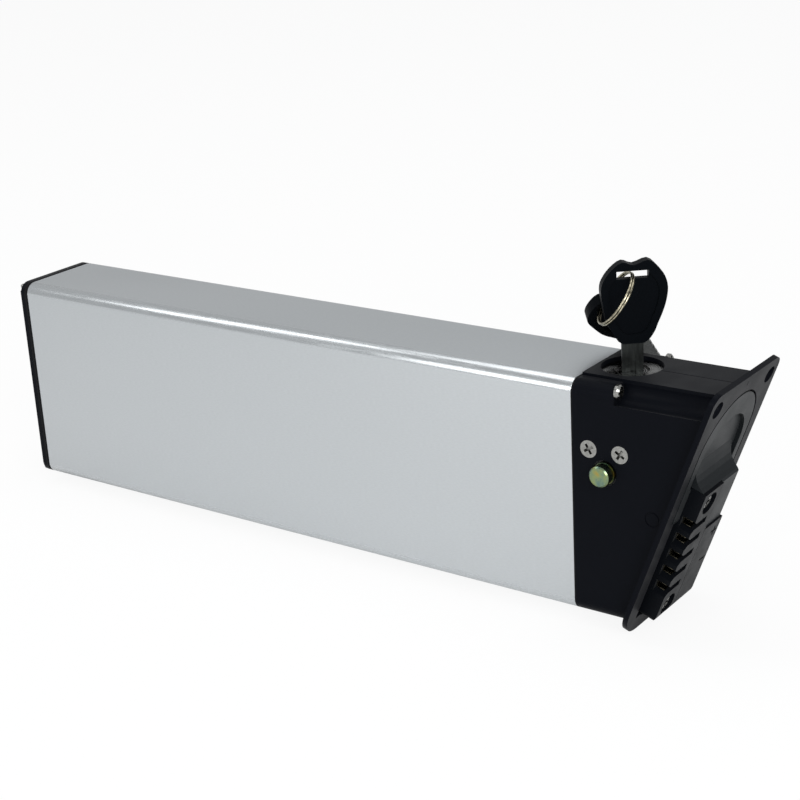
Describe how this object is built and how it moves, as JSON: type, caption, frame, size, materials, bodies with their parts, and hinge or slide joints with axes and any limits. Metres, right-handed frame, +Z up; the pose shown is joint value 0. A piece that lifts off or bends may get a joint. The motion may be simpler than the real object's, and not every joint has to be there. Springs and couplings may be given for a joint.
{
  "type": "e-bike battery",
  "caption": "Removable battery for an electric bicycle: rectangular aluminium tube, slanted black head with grip, comb connector, sliding latch pin and key lock with two keys.",
  "frame": {"origin": "centre of the tube's bottom face", "axes": "+X along the tube towards the head and connector, +Z up, -Y the side where the latch pin comes out"},
  "size_m": [0.417, 0.0854, 0.1656],
  "materials": {
    "tube": "satin anodised",
    "black_shell": "fine moulded texture",
    "black_block": "fine moulded texture",
    "seal": "matt",
    "steel": "plated",
    "yellow_zinc": "yellow passivated",
    "bright": "polished",
    "barrel": "turned",
    "key_steel": "plated",
    "key_black": "moulded",
    "contact": "plated",
    "cell_wrap": "shrink sleeve over steel",
    "holder": "moulded",
    "nickel": "rolled",
    "board_paper": "pressed paper",
    "foam": "soft foam",
    "circuit": "solder mask",
    "parts": "extruded",
    "lead": "insulated wire"
  },
  "bodies": {
    "housing": {"battery_tube": "tube", "rear_gasket": "seal", "rear_end_cap": "black_shell", "rear_cap_screws": "steel", "head_gasket": "seal", "head_housing": "black_shell", "head_screws": "steel", "grip_plate": "black_shell", "connector_block": "black_block", "terminal_cover": "black_block", "connector_contacts": "contact", "connector_screws": "steel", "latch_screws": "steel", "latch_guide": "holder", "lock_bezel": "bright", "lock_body": "barrel", "lock_nut": "steel", "cell_pack": "cell_wrap", "cell_holders": "holder", "nickel_strips": "nickel", "group_cards": "board_paper", "pack_sleeve": "board_paper", "foam_pads": "foam", "bms_tray": "holder", "bms_board": "circuit", "bms_parts": "parts", "power_leads": "lead"},
    "core": {"lock_core": "bright", "lock_cam": "steel"},
    "latch": {"latch_pin": "yellow_zinc", "latch_carriage": "steel", "latch_clip": "steel"},
    "key": {"key_blade": "key_steel", "key_bow": "key_black"},
    "ring": {"key_ring": "bright"},
    "spare": {"spare_key_blade": "key_steel", "spare_key_bow": "key_black"}
  },
  "joints": [
    {"name": "key_turn", "type": "hinge", "parent": "housing", "child": "core", "pos_m": [0.186, 0, 0.1], "axis": [0, 0, 1], "range_deg": [0, 45]},
    {"name": "latch_slide", "type": "slide", "parent": "housing", "child": "latch", "axis": [0, 1, 0], "range_m": [0, 0.0086]},
    {"name": "key_pull", "type": "slide", "parent": "core", "child": "key", "axis": [0, 0, 1], "range_m": [0, 0.028]},
    {"name": "key_ring_turn", "type": "hinge", "parent": "key", "child": "ring", "pos_m": [0.186, 0, 0.1529], "axis": [0, 0, 1], "range_deg": [-45, 0]},
    {"name": "spare_key_swing", "type": "hinge", "parent": "ring", "child": "spare", "pos_m": [0.17098, 0.00139, 0.13686], "axis": [-0.0213, -0.7048, -0.7091], "range_deg": [-30.9, 0]}
  ],
  "couplings": [
    {"joint": "latch_slide", "follows": "key_turn", "m_per_rad": 0.010823},
    {"joint": "key_ring_turn", "follows": "key_turn", "ratio": -1},
    {"joint": "spare_key_swing", "follows": "key_turn", "ratio": -0.678}
  ]
}
